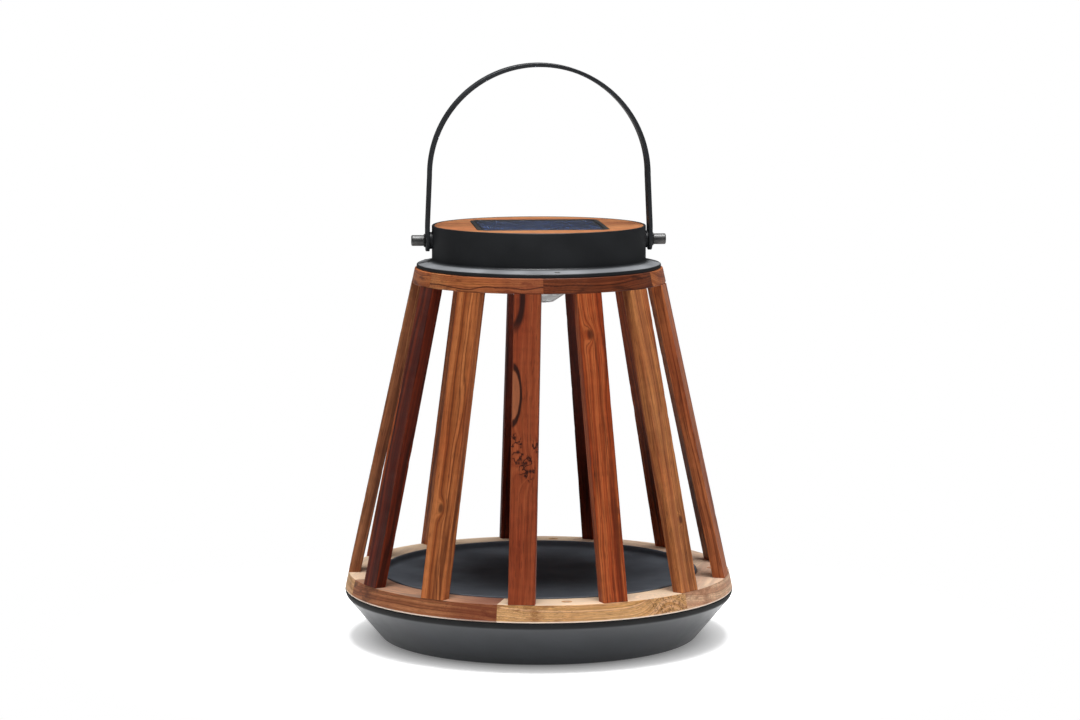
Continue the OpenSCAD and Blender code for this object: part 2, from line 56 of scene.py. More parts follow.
RING_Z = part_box("lower_ring_segment_1")[0].z
RING_TOP_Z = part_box("lower_ring_segment_1")[1].z
NECK_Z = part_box("upper_ring_segment_1")[0].z
CAP_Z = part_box("cap_shell")[0].z
BASE_R = radius_at("lower_ring_segment_1", RING_Z)
NECK_R = radius_at("upper_ring_segment_1", NECK_Z)
SLOPE = (BASE_R - NECK_R) / (NECK_Z - RING_Z)
LEAN = math.atan(SLOPE)
BOLT_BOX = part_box("bail_bolts")
STRAP_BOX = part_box("bail_strap")
PIN_Z = (BOLT_BOX[0].z + BOLT_BOX[1].z) / 2

# Sizes that the frame's boxes don't show
SLAT_COUNT = 13
SLAT_STEP = 360 / SLAT_COUNT
SLAT_START = -10
SLAT_W = 18 * MM
SLAT_T = 8 * MM
RING_PARTS = 6
PART_ANGLE = 360 / RING_PARTS
LOW_BORE_R = 110.35 * MM
TOP_BORE_R = 64 * MM
LOW_JOINT = -17
TOP_JOINT = -3
RING_SCREW_GAPS = (0, 3, 6, 10)
RING_SCREW_AT_R = 121 * MM
CAP_SCREW_GAPS = (0, 4, 9)
CAP_SCREW_AT_R = 79.2 * MM


def cone_r(z):
    """Outer radius of the timber cone at a height."""
    return BASE_R - SLOPE * (z - RING_Z)


def gap_angle(k):
    """Angle at the middle of the gap after slat k, in degrees from the front."""
    return SLAT_START + SLAT_STEP * (k + 0.5)


def turn(degrees):
    """Turns about the lantern's axis; 0 is the front, and angles grow towards +X."""
    return Matrix.Rotation(math.radians(degrees), 4, "Z")


# ---- Mesh building ----

def rounded(corners, steps=5):
    """Points of a closed outline; each corner is (x, y, radius in millimetres) and becomes an arc.
    A point on the straight just off each end of an arc keeps the flat faces' shading flat."""
    count = len(corners)
    spots = [Vector(c[:2]) for c in corners]
    radii = [c[2] * MM for c in corners]
    halves, tangents = [], []
    for i, here in enumerate(spots):
        half = (spots[i - 1] - here).angle(spots[(i + 1) % count] - here) / 2
        halves.append(half)
        tangents.append(radii[i] / math.tan(half))

    def support(i, n):
        free = (spots[n] - spots[i]).length - tangents[i] - tangents[n]
        return min(0.25 * radii[i], free / 3)

    points = []
    for i, here in enumerate(spots):
        r = radii[i]
        if r <= 0:
            points.append(tuple(here))
            continue
        n = (i + 1) % count
        before = (spots[i - 1] - here).normalized()
        after = (spots[n] - here).normalized()
        centre = here + (before + after).normalized() * r / math.sin(halves[i])
        start = here + before * tangents[i] - centre
        sweep = start.angle_signed(here + after * tangents[i] - centre)
        points.append(tuple(here + before * (tangents[i] + support(i, i - 1))))
        for k in range(steps + 1):
            points.append(tuple(centre + Matrix.Rotation(-sweep * k / steps, 2) @ start))
        points.append(tuple(here + after * (tangents[i] + support(i, n))))
    return points


def skin(loops, closed=False):
    """Joins loops of equal length with quads; the ends are capped, or the last loop meets the first."""
    size = len(loops[0])
    verts = [tuple(p) for loop in loops for p in loop]
    faces = []
    pairs = len(loops) if closed else len(loops) - 1
    for i in range(pairs):
        a = i * size
        b = (i + 1) % len(loops) * size
        for k in range(size):
            n = (k + 1) % size
            faces.append((a + k, a + n, b + n, b + k))
    if not closed:
        faces.append(tuple(range(size))[::-1])
        faces.append(tuple(range((len(loops) - 1) * size, len(loops) * size)))
    return verts, faces


def polar_loop(radius, z, count=360):
    """A loop round the axis whose radius is a number or a function of the angle."""
    points = []
    for k in range(count):
        a = 2 * math.pi * k / count
        r = radius(a) if callable(radius) else radius
        points.append((r * math.cos(a), r * math.sin(a), z))
    return points


def lathe(outline, segments):
    """A solid turned about Z from a closed (r, z) outline that may touch the axis."""
    verts, faces, rings = [], [], []
    for r, z in outline:
        ring = [(0, 0, z)] if r < 1e-7 else polar_loop(r, z, segments)
        rings.append(range(len(verts), len(verts) + len(ring)))
        verts += ring
    for a, b in zip(rings, rings[1:] + rings[:1]):
        if len(a) == len(b) == 1:
            continue
        for k in range(segments):
            n = (k + 1) % segments
            quad = (a[k % len(a)], a[n % len(a)], b[n % len(b)], b[k % len(b)])
            faces.append(tuple(dict.fromkeys(quad)))
    return verts, faces


def square_radius(half, corner):
    """Distance from the centre to a rounded square's edge, as a function of the angle."""
    def at(a):
        c, s = abs(math.cos(a)), abs(math.sin(a))
        c, s = max(c, s), min(c, s)
        if half * s / c <= half - corner:
            return half / c
        k = half - corner
        along = k * (c + s)
        return along + math.sqrt(along * along - 2 * k * k + corner * corner)
    return at


def add_object(name, data):
    """A new object in the scene that holds a mesh, a lamp or a camera."""
    made = bpy.data.objects.new(name, data)
    bpy.context.scene.collection.objects.link(made)
    return made


def mesh_of(name, shape):
    """A Blender mesh of a shape's corners and faces."""
    mesh = bpy.data.meshes.new(name)
    mesh.from_pydata(shape[0], [], shape[1])
    return mesh


def make(name, shape, material, replaces=(), place=None, body="lantern", sharp=30):
    """A finished piece: clean mesh, smooth faces with sharp edges kept, material and body."""
    mesh = mesh_of(name, shape)
    tidy = bmesh.new()
    tidy.from_mesh(mesh)
    bmesh.ops.remove_doubles(tidy, verts=tidy.verts, dist=1e-7)
    bmesh.ops.recalc_face_normals(tidy, faces=tidy.faces)
    tidy.to_mesh(mesh)
    tidy.free()
    mesh.polygons.foreach_set("use_smooth", [True] * len(mesh.polygons))
    mesh.set_sharp_from_angle(angle=math.radians(sharp))
    piece = add_object(name, mesh)
    if place is not None:
        piece.matrix_world = place
    mesh.materials.append(material)
    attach(piece, body)
    if replaces:
        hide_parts(*replaces)
    return piece


def carve(piece, shape):
    """Cuts a shape out of an object's mesh."""
    tool = add_object("tool", mesh_of("tool", shape))
    cut = piece.modifiers.new("cut", "BOOLEAN")
    cut.object = tool
    cut.operation = "DIFFERENCE"
    cut.solver = "EXACT"
    bpy.context.view_layer.update()
    graph = bpy.context.evaluated_depsgraph_get()
    result = bpy.data.meshes.new_from_object(piece.evaluated_get(graph))
    piece.modifiers.clear()
    piece.data = result
    bpy.data.objects.remove(tool)


def joined(shapes):
    """Several shapes as one list of corners and faces."""
    verts, faces = [], []
    for shape_verts, shape_faces in shapes:
        start = len(verts)
        verts += [tuple(v) for v in shape_verts]
        faces += [tuple(start + i for i in f) for f in shape_faces]
    return verts, faces


def placed(shape, matrix):
    """A shape with its corners moved by a matrix."""
    return [tuple(matrix @ Vector(v)) for v in shape[0]], shape[1]


# ---- Shader building ----

class Nodes:
    """The node tree of a new material or world, with short calls that add nodes to it."""

    def __init__(self, owner):
        owner.use_nodes = True
        self.tree = owner.node_tree

    def add(self, kind, links=(), **settings):
        """A new node of a kind, with values or links by socket, and its own settings."""
        node = self.tree.nodes.new("ShaderNode" + kind)
        for key, value in settings.items():
            setattr(node, key, value)
        for key, value in dict(links).items():
            self.feed(node.inputs[key], value)
        return node

    def feed(self, socket, value):
        """Links a socket to another or sets it to a number, a vector or a #rrggbb colour."""
        if isinstance(value, bpy.types.NodeSocket):
            self.tree.links.new(value, socket)
        else:
            socket.default_value = colour(value) if isinstance(value, str) else value

    def math(self, operation, a, b=0.0, c=0.0):
        return self.add("Math", {0: a, 1: b, 2: c}, operation=operation).outputs[0]

    def times(self, a, b):
        return self.math("MULTIPLY", a, b)

    def scaled(self, a, b, c):
        """a times b, plus c."""
        return self.math("MULTIPLY_ADD", a, b, c)

    def minus(self, a, b):
        return self.math("SUBTRACT", a, b)

    def length(self, a, b):
        """The length of a vector with these two components."""
        return self.math("SQRT", self.math("ADD", self.times(a, a), self.times(b, b)))

    def vector(self, operation, a, b=(0, 0, 0)):
        return self.add("VectorMath", {0: a, 1: b}, operation=operation).outputs[0]

    def split(self, vector):
        return self.add("SeparateXYZ", {0: vector}).outputs

    def combine(self, x, y, z):
        return self.add("CombineXYZ", {0: x, 1: y, 2: z}).outputs[0]

    def noise(self, vector, scale, detail, rough=0.5, output="Fac", squeeze=None):
        """Noise at a place; squeeze multiplies the place first, so a small factor draws marks out."""
        if squeeze:
            vector = self.vector("MULTIPLY", vector, squeeze)
        links = {"Vector": vector, "Scale": scale, "Detail": detail, "Roughness": rough}
        return self.add("TexNoise", links).outputs[output]

    def noise_line(self, w, detail, rough=0.5):
        """Noise along one number, for bands."""
        links = {"W": w, "Scale": 1.0, "Detail": detail, "Roughness": rough}
        return self.add("TexNoise", links, noise_dimensions="1D").outputs["Fac"]

    def spread(self, value, low, high, out_low=0.0, out_high=1.0):
        """Maps low..high to out_low..out_high with soft ends, held beyond them."""
        links = {"Value": value, "From Min": low, "From Max": high, "To Min": out_low, "To Max": out_high}
        return self.add("MapRange", links, interpolation_type="SMOOTHSTEP").outputs[0]

    def mix(self, amount, a, b, blend="MIX"):
        links = {0: amount, 6: a, 7: b}
        return self.add("Mix", links, data_type="RGBA", blend_type=blend).outputs[2]

    def stain(self, look, mask, strength, tint, blend="MIX"):
        """Lays a tint over a look where the mask is 1, with that strength."""
        return self.mix(self.times(mask, strength), look, tint, blend)

    def bump(self, height, strength, distance):
        links = {"Height": height, "Strength": strength, "Distance": distance}
        return self.add("Bump", links).outputs[0]


class Shader(Nodes):
    """A new material with its surface shader and the place on the piece."""

    def __init__(self, name):
        self.material = bpy.data.materials.new(name)
        super().__init__(self.material)
        self.surface = self.tree.nodes["Principled BSDF"]
        self.place = self.add("TexCoord").outputs["Object"]

    def set(self, **values):
        """Feeds the surface shader; an underscore stands for a space in a socket's name."""
        for key, value in values.items():
            self.feed(self.surface.inputs[key.replace("_", " ")], value)
        return self.material


def colour(code):
    """A #rrggbb colour as linear red, green, blue and alpha."""
    def linear(v):
        return v / 12.92 if v <= 0.04045 else ((v + 0.055) / 1.055) ** 2.4
    return tuple(linear(int(code[i:i + 2], 16) / 255) for i in (1, 3, 5)) + (1,)


# ---- Materials ----

# Light, middle and dark tone of each kind of board
TONES = {
    "tan": ("#dfb183", "#c8975f", "#8f5c33"),
    "pink": ("#dcb492", "#c69575", "#96674a"),
    "orange": ("#bf7240", "#9a5229", "#50220f"),
    "amber": ("#c47e4a", "#ac683e", "#6a3519"),
    "rust": ("#c87747", "#a95c34", "#5c2713"),
    "red": ("#b86033", "#9b441e", "#51200d"),
    "plain": ("#9c4d2b", "#8c4022", "#5c2613"),
    "brown": ("#ad7049", "#915636", "#532d1a"),
    "umber": ("#7b3f23", "#5c2a14", "#2f1208"),
    "dark": ("#762b10", "#561a0a", "#2b0b04"),
    "disc": ("#bd8050", "#a96c42", "#7c492a"),
}


def timber(name, tone, seed, along="Z", spin=0, level=0, painted_top_sheen=0, painted_edge_highlight=0, knots=(), burls=(),
           burl_look=(230, 0.9), streak=1.0, extra=None):
    """Oiled hardwood with growth bands, streaks, fibres and pores along one axis of the piece.
    A level board, along X, is turned by spin and lies at a height; its top faces are painted paler as a
    painted sheen, and its lower edge gets a painted pale highlight line. Knots and burls are (across,
    along, size) in millimetres from the piece's own origin, and burl_look is how fine and how dark a burl's
    marks are."""
    s = Shader(name)
    place = s.place
    if spin:
        links = {"Vector": place, "Angle": math.radians(-spin)}
        place = s.add("VectorRotate", links, rotation_type="Z_AXIS").outputs[0]
    x, y, z = s.split(place)
    pith = (0.021 + 0.009 * math.sin(seed * 5.1), 0.034 + 0.012 * math.cos(seed * 3.3))
    if along == "X":
        x, y, z = y, z, x
        pith = (-0.12 + 0.05 * math.sin(seed * 5.1), level + 0.17 + 0.05 * math.cos(seed * 3.3))
    here = s.combine(x, y, z)
    shifted = s.vector("ADD", here, (seed * 1.37, seed * 0.71, seed * 2.13))

    wander = s.noise(shifted, 1, 3, output="Color", squeeze=(26, 26, 6))
    wander = s.vector("MULTIPLY", s.vector("SUBTRACT", wander, (0.5, 0.5, 0.5)), (0.012, 0.012, 0))
    moved = s.vector("ADD", here, wander)
    moved_x, moved_y, _ = s.split(moved)
    ring = s.length(s.minus(moved_x, pith[0]), s.minus(moved_y, pith[1]))

    swirl = None
    for across, up, size in [*knots, *burls]:
        off_x = s.math("DIVIDE", s.minus(x, across * MM), size * MM)
        off_z = s.math("DIVIDE", s.minus(z, up * MM), 1.7 * size * MM)
        near = s.math("ADD", s.times(off_x, off_x), s.times(off_z, off_z))
        bulge = s.math("EXPONENT", s.times(near, -1))
        ring = s.scaled(bulge, 1.1 * size * MM, ring)
        swirl = bulge if swirl is None else s.math("MAXIMUM", swirl, bulge)

    fibre = s.noise(shifted, 1500, 3, rough=0.6, squeeze=(1, 1, 0.03))
    bands = s.noise_line(s.scaled(ring, 330, seed), 1.5)
    frayed = s.scaled(ring, 1250, s.times(fibre, 0.5))
    lines = s.noise_line(frayed, 2.5, rough=0.6)
    patch = s.noise(shifted, 60, 2, squeeze=(1, 1, 0.2))
    long_streak = s.noise(moved, 210, 3, rough=0.55, squeeze=(1, 1, 0.035))
    pores = s.spread(s.noise(shifted, 2100, 1, squeeze=(1, 1, 0.06)), 0.62, 0.72)
    ripple = s.noise(shifted, 190, 1, squeeze=(0.3, 0.3, 1))

    light, middle, dark = TONES[tone]
    look = s.mix(s.spread(bands, 0.36, 0.62), light, middle)
    look = s.stain(look, s.spread(lines, 0.5, 0.72), 0.62 * streak, dark)
    look = s.stain(look, s.spread(long_streak, 0.53, 0.68), 0.7 * streak, dark)
    look = s.stain(look, s.spread(patch, 0.45, 0.7), 0.3, "#7c2f1c", "SOFT_LIGHT")
    look = s.mix(1.0, look, s.combine(*[s.spread(fibre, 0.25, 0.75, 0.74, 1.14)] * 3), "MULTIPLY")
    look = s.mix(1.0, look, s.combine(*[s.spread(ripple, 0.3, 0.7, 0.93, 1.05)] * 3), "MULTIPLY")
    look = s.stain(look, pores, 0.5, "#2a110a")

    if knots:
        heart = s.math("ADD", swirl, s.times(s.minus(fibre, 0.5), 0.3))
        look = s.stain(look, s.spread(heart, 0.55, 0.95), 0.75, "#351409")
    if burls:
        fine, strength = burl_look
        cells = s.add("TexVoronoi", {"Vector": moved, "Scale": 1.4 * fine}).outputs["Distance"]
        eyes = s.times(s.spread(cells, 0.45, 0.12), s.spread(swirl, 0.25, 0.7))
        curl = s.math("ABSOLUTE", s.minus(s.noise(moved, fine, 2.5), 0.5))
        curl = s.times(s.spread(curl, 9 / fine, 0.8 / fine), s.spread(swirl, 0.25, 0.5))
        look = s.stain(look, s.math("MAXIMUM", eyes, curl), strength, "#2a0d07")
    # Painted sheen: faces that look up are made paler and creamier, standing in for light glancing off
    # them.
    if painted_top_sheen:
        up = s.split(s.add("NewGeometry").outputs["Normal"])[2]
        look = s.stain(look, s.spread(up, 0.5, 0.9), painted_top_sheen, "#f2e2cc")
    # Painted highlight: a pale line along the lower edge, standing in for light caught on the eased edge.
    if painted_edge_highlight:
        edge = s.spread(s.scaled(fibre, 0.5 * MM, y), level + 1.6 * MM, level + 0.9 * MM)
        look = s.stain(look, edge, painted_edge_highlight, "#ffeedd")
    if extra is not None:
        look = extra(s, look, x, y, z, fibre)

    relief = s.minus(s.times(fibre, 0.5), s.times(pores, 0.6))
    relief = s.scaled(lines, -0.35, relief)
    return s.set(
        Base_Color=look,
        Roughness=s.spread(fibre, 0.2, 0.8, 0.4, 0.56),
        Specular_IOR_Level=0.25,
        Sheen_Weight=0.05,
        Sheen_Roughness=0.4,
        Normal=s.bump(relief, 0.35, 0.25 * MM),
    )


def grey(s, value, tint=(1, 1, 1)):
    """A grey or tinted colour from one number."""
    return s.combine(*[s.times(value, t) for t in tint])


def powder_coat(name, level, rough=0.42, gloss=0.5, peel_depth=0.16, rim=None, lip_z=None):
    """Baked powder coat: fine orange peel, faint cloudiness and a few dust nibs.
    A rim, as (inner radius, outer radius, height), is a flange whose top gets a painted pale reflection.
    Above the height lip_z the coat is matt and darkened into a painted shadow line."""
    s = Shader(name)
    cloud = s.noise(s.place, 38, 4)
    peel = s.noise(s.place, 900, 2)
    grain = s.noise(s.place, 4200, 1)
    nibs = s.spread(s.noise(s.place, 620, 0), 0.74, 0.8)
    shade = s.spread(cloud, 0.3, 0.7, 0.9 * level, 1.12 * level)
    gloss_low, gloss_high = rough - 0.05, rough + 0.07
    if lip_z:
        # Painted shadow: the lip just under the timber ring is darkened almost to black, as in a shadow
        # gap.
        lip = s.spread(s.split(s.place)[2], lip_z - 1.9 * MM, lip_z + 0.3 * MM)
        shade = s.times(shade, s.spread(lip, 0, 1, 1, 0.05))
        gloss_low = s.spread(lip, 0, 1, gloss_low, 0.8)
        gloss_high = s.spread(lip, 0, 1, gloss_high, 0.85)
    look = grey(s, shade, (0.9, 1.0, 1.16))
    if rim:
        inner, outer, top = rim
        x, y, z = s.split(s.place)
        away = s.length(x, y)
        # Painted reflection: the flange's top is turned pale grey, standing in for light glancing off it.
        painted_flange_sheen = s.times(s.spread(away, inner, inner + 4 * MM), s.spread(away, outer, outer - 1 * MM))
        painted_flange_sheen = s.times(painted_flange_sheen, s.spread(z, top - 0.2 * MM, top + 0.1 * MM))
        look = s.mix(painted_flange_sheen, look, grey(s, s.spread(cloud, 0.3, 0.7, 0.17, 0.25), (0.96, 1.0, 1.06)))
    height = s.scaled(grain, 0.35, s.scaled(nibs, 1.6, peel))
    return s.set(
        Base_Color=look,
        Roughness=s.spread(cloud, 0.25, 0.75, gloss_low, gloss_high),
        Specular_IOR_Level=gloss,
        Normal=s.bump(height, peel_depth, 0.12 * MM),
    )


def metal(name, level, rough, turned=False):
    """Bare or plated metal with fine scratches, or with turning lines round the piece's own Z."""
    s = Shader(name)
    if turned:
        lines = s.noise_line(s.times(s.split(s.place)[2], 9000), 2)
    else:
        lines = s.noise(s.place, 3200, 2, squeeze=(1, 1, 0.08))
    cloud = s.noise(s.place, 240, 3)
    shade = s.spread(cloud, 0.3, 0.7, 0.85 * level, 1.1 * level)
    return s.set(
        Base_Color=grey(s, shade),
        Metallic=1.0,
        Roughness=s.spread(lines, 0.2, 0.8, rough - 0.07, rough + 0.1),
        Normal=s.bump(lines, 0.12, 0.05 * MM),
    )


def plastic(name, code, rough=0.5, grain_scale=2600, relief=0.2):
    """Moulded plastic or rubber with a spark-eroded grain and slight shading."""
    s = Shader(name)
    grain = s.noise(s.place, grain_scale, 2)
    cloud = s.noise(s.place, 90, 3)
    base = colour(code)
    paler = tuple(min(1, c * 1.3 + 0.01) for c in base[:3]) + (1,)
    return s.set(
        Base_Color=s.mix(s.spread(cloud, 0.3, 0.75), base, paler),
        Roughness=s.spread(grain, 0.3, 0.7, rough - 0.06, rough + 0.08),
        Normal=s.bump(grain, relief, 0.06 * MM),
    )


def clear(name, rough, code="#ffffff", ior=1.49):
    """Clear moulded plastic with faint flow marks."""
    s = Shader(name)
    flow = s.noise(s.place, 110, 2)
    return s.set(
        Base_Color=s.mix(s.spread(flow, 0.3, 0.7), code, "#f6fafb"),
        Roughness=s.spread(flow, 0.3, 0.7, rough, rough + 0.03),
        IOR=ior,
        Transmission_Weight=1.0,
        Normal=s.bump(flow, 0.05, 0.2 * MM),
    )


def cell_film():
    """Dark blue silicon with fine pale fingers across each strip and slight mottling."""
    s = Shader("solar_film")
    mottle = s.noise(s.place, 260, 4, rough=0.6)
    fingers = s.math("PINGPONG", s.math("DIVIDE", s.split(s.place)[0], 1.9 * MM), 0.5)
    fingers = s.spread(fingers, 0.04, 0.075, 1.0, 0.0)
    base = s.mix(s.spread(mottle, 0.3, 0.7), "#243a72", "#40588f")
    return s.set(
        Base_Color=s.stain(base, fingers, 0.45, "#8d99ad"),
        Roughness=s.spread(mottle, 0.3, 0.7, 0.22, 0.34),
        Metallic=0.25,
    )


def circuit(name, code):
    """Solder mask with tracks that show as faint raised lines."""
    s = Shader(name)
    tracks = s.add("TexBrick", {"Vector": s.place, "Scale": 260, "Mortar Size": 0.03})
    dust = s.noise(s.place, 900, 2)
    base = colour(code)
    deep = tuple(c * 0.7 for c in base[:3]) + (1,)
    return s.set(
        Base_Color=s.mix(s.spread(dust, 0.2, 0.8), s.mix(tracks.outputs["Fac"], base, deep), base),
        Roughness=s.spread(dust, 0.3, 0.7, 0.28, 0.4),
        Normal=s.bump(tracks.outputs["Fac"], 0.3, 0.05 * MM),
    )


def glow_resin():
    """Yellow phosphor resin of the light emitters."""
    s = Shader("emitter_resin")
    speckle = s.noise(s.place, 5200, 2)
    return s.set(
        Base_Color=s.mix(speckle, "#f3dc86", "#fbeeb6"),
        Roughness=s.spread(speckle, 0.3, 0.7, 0.2, 0.32),
        Subsurface_Weight=0.2,
        Subsurface_Radius=(1.2 * MM, 1 * MM, 0.4 * MM),
    )


COAT = powder_coat("black_powder_coat", 0.02)
# Its lip under the timber ring carries a painted shadow line
BOWL_COAT = powder_coat("bowl_powder_coat", 0.022, 0.34, 0.42, peel_depth=0.06, lip_z=RING_Z - 3.5 * MM)
# Its flange top carries a painted pale reflection
CAP_COAT = powder_coat("cap_powder_coat", 0.015, gloss=0.4, rim=(74 * MM, 84.2 * MM, CAP_Z + 2.7 * MM))
TRAY_COAT = powder_coat("grey_powder_coat", 0.13, 0.6, 0.0)
DARK_SCREW = metal("blackened_screw", 0.14, 0.42)
PLATED = metal("zinc_plate", 0.55, 0.34)
KNOB = metal("knob_steel", 0.12, 0.5, turned=True)
RUBBER = plastic("black_rubber", "#161616", 0.75, 1600, 0.3)
BLACK_ABS = plastic("black_moulding", "#17191b", 0.48)
BUTTON_ABS = plastic("grey_button", "#45484b", 0.5)
LENS = clear("clear_lens", 0.28, ior=1.35)
COVER = clear("panel_resin", 0.08, "#e9eef4", 1.3)
CELLS = cell_film()
RIBBON = metal("solder_ribbon", 0.7, 0.3)


# ---- Base ----

def make_bowl():
    """The base bowl: an open pan with a rounded shoulder, a rolled inner flange and a flat foot."""
    lo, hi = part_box("base_bowl")
    sheet = 1.5 * MM
    foot = 109.5 * MM
    lip = 3 * MM
    bore = 111.5 * MM
    low, high, outer = lo.z, hi.z, hi.x
    side = math.hypot(outer - foot, high - lip - low)
    inset_x = sheet * (side / (high - lip - low))
    corners = [
        (0, low, 0), (foot, low, 4),
        (outer, high - lip, 7.5), (outer, high, 0.7),
        (bore, high, 0.5), (bore, high - sheet, 0.5),
        (outer - sheet, high - sheet, 0.5),
        (outer - sheet, high - lip + 0.3 * MM, 3.5),
        (foot - inset_x + 1.2 * MM, low + sheet, 2.5),
        (0, low + sheet, 0),
    ]
    make("bowl_pan", lathe(rounded(corners, 8), 240), BOWL_COAT, ["base_bowl"])


def make_tray():
    """The dished tray, with a rounded corner up to its lip."""
    lo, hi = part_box("inner_tray")
    sheet = 1.5 * MM
    corner = 4 * MM
    lip = 3.2 * MM
    depth = hi.z - lip - lo.z
    reach = hi.x - corner
    dish = (reach ** 2 + depth ** 2 - corner ** 2) / (2 * (depth - corner))
    angle = math.asin(reach / (dish - corner))
    corner_z = lo.z + dish - (dish - corner) * math.cos(angle)

    def face(inset):
        """The dish and its corner as (r, z) points, from the axis out."""
        points = []
        for k in range(25):
            a = angle * k / 24
            points.append(((dish - inset) * math.sin(a), lo.z + dish - (dish - inset) * math.cos(a)))
        for k in range(1, 13):
            a = angle + (math.pi / 2 - angle) * k / 12
            bend = corner - inset
            points.append((reach + bend * math.sin(a), corner_z - bend * math.cos(a)))
        return points

    rim = []
    for k in range(9):
        a = math.pi * k / 8
        rim.append((hi.x - sheet * (1 - math.cos(a)) / 2, hi.z - sheet / 2 + sheet / 2 * math.sin(a)))
    outline = face(0) + rim + face(sheet)[::-1]
    make("tray_dish", lathe(outline, 240), TRAY_COAT, ["inner_tray"])


def make_pads():
    """Four moulded rubber pads with rounded edges."""
    lo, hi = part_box("rubber_pads")
    r = 7 * MM
    reach = 95 * MM
    pad = lathe(rounded([(0, lo.z, 0), (r, lo.z, 0.5), (r, hi.z, 0), (0, hi.z, 0)], 4), 48)
    pads = [placed(pad, turn(45 + 90 * k) @ Matrix.Translation((0, -reach, 0))) for k in range(4)]
    make("foot_pads", joined(pads), RUBBER, ["rubber_pads"])


# ---- Timber ----

LOW_TONES = ("tan", "pink", "pink", "tan", "tan", "brown")
# How strongly each tone's top faces get the painted pale sheen
LOW_PAINTED_SHEEN = {"brown": 0.16, "tan": 0.5, "pink": 0.35}
LOW_BURLS = {0: [(-121, 50, 11)]}
TOP_TONES = ("umber", "orange", "orange", "tan", "orange", "amber")
SLAT_TONES = ("plain", "red", "amber", "rust", "orange", "red", "dark",
              "dark", "orange", "red", "brown", "dark", "orange")
SLAT_KNOTS = {1: [(-2, 190, 4)], 2: [(3, 60, 3)], 9: [(2, 120, 4)], 12: [(-1, 72, 3.5)]}
SLAT_BURLS = {0: [(-6, 117, 4.5), (-4, 108, 4), (2, 101, 5.5), (8, 117, 3)]}


def ring_sector(z0, z1, bore, middle_angle):
    """A segment of a ring, with eased edges and an outer face that follows the cone."""
    ease = 0.7
    corners = [(bore, z0, ease), (cone_r(z0), z0, ease), (cone_r(z1), z1, ease), (bore, z1, ease)]
    section = rounded(corners, 4)
    steps = 40
    bevel = math.radians(0.12)
    end_size = 0.985
    half = math.radians(PART_ANGLE) / 2
    middle = (bore + cone_r(z0)) / 2
    centre_z = (z0 + z1) / 2
    stops = [(-half, end_size), (-half + bevel, 1.0)]
    stops += [(-half + 2 * half * k / steps, 1.0) for k in range(1, steps)]
    stops += [(half - bevel, 1.0), (half, end_size)]
    loops = []
    for a, grow in stops:
        turned = a + math.radians(middle_angle)
        loop = []
        for r, z in section:
            far = middle + (r - middle) * grow
            loop.append((far * math.sin(turned), -far * math.cos(turned), centre_z + (z - centre_z) * grow))
        loops.append(loop)
    return skin(loops)


def sink_holes(piece, angles):
    """Sinks tapering round holes for the ring's screws into a segment's top."""
    radius, depth = 3.7 * MM, 2.4 * MM
    drill = lathe([(0, -depth), (radius * 0.45, -depth), (radius, 0), (radius, depth), (0, depth)], 40)
    for angle in angles:
        place = turn(angle) @ Matrix.Translation((0, -RING_SCREW_AT_R, RING_TOP_Z))
        carve(piece, placed(drill, place))


def dark_end(s, look, x, y, z, fibre):
    """Reddish heartwood towards the right end of the lower ring's front board."""
    along = s.scaled(fibre, 16 * MM, z)
    return s.mix(s.spread(along, 30 * MM, 62 * MM, 0, 0.6), look, "#6a2d1a")


def growth_line(s, look, x, y, z, fibre):
    """A dark growth line that wanders along the front board of the upper ring, redder to the right."""
    sway = s.noise_line(s.times(z, 34), 1)
    height = s.scaled(s.minus(sway, 0.5), 7 * MM, NECK_Z + 3.2 * MM)
    off = s.math("ABSOLUTE", s.minus(y, height))
    line = s.spread(s.scaled(fibre, 0.3 * MM, off), 0.75 * MM, 0.3 * MM)
    redder = s.spread(s.scaled(fibre, 20 * MM, z), 5 * MM, 50 * MM, 0, 0.6)
    look = s.mix(redder, look, "#7a3523")
    return s.stain(look, line, 0.8, "#31120a")


def make_rings():
    """Both glued rings, each segment a board of its own with its grain along the chord."""
    last = RING_PARTS - 1
    for i in range(RING_PARTS):
        name = f"lower_board_{i + 1}"
        middle = LOW_JOINT + PART_ANGLE * (i + 0.5)
        tone = LOW_TONES[i]
        # The boards' tops get a painted sheen and their lower edge a painted highlight line
        wood = timber(
            name, tone, 3.1 + 1.7 * i, "X", middle, RING_Z, LOW_PAINTED_SHEEN[tone], painted_edge_highlight=0.75,
            burls=LOW_BURLS.get(i, ()), burl_look=(270, 0.6), extra=dark_end if i == last else None,
        )
        sector = ring_sector(RING_Z, RING_TOP_Z, LOW_BORE_R, middle)
        piece = make(name, sector, wood, [f"lower_ring_segment_{i + 1}"])
        near = [gap_angle(k) for k in RING_SCREW_GAPS]
        near = [a for a in near if abs((a - middle + 180) % 360 - 180) < PART_ANGLE / 2]
        sink_holes(piece, near)
    for i in range(RING_PARTS):
        name = f"upper_board_{i + 1}"
        middle = TOP_JOINT + PART_ANGLE * (i + 0.5)
        line = growth_line if i == last else None
        wood = timber(name, TOP_TONES[i], 13.4 + 2.3 * i, "X", middle, NECK_Z, extra=line)
        sector = ring_sector(NECK_Z, CAP_Z, TOP_BORE_R, middle)
        make(name, sector, wood, [f"upper_ring_segment_{i + 1}"])


def slat_place(i):
    """A slat's own frame: Z up its centre line from the lower ring's underside, -Y outward."""
    out = BASE_R - SLAT_T / 2 / math.cos(LEAN)
    foot = turn(SLAT_START + SLAT_STEP * i) @ Matrix.Translation((0, -out, RING_Z))
    return foot @ Matrix.Rotation(-LEAN, 4, "X")


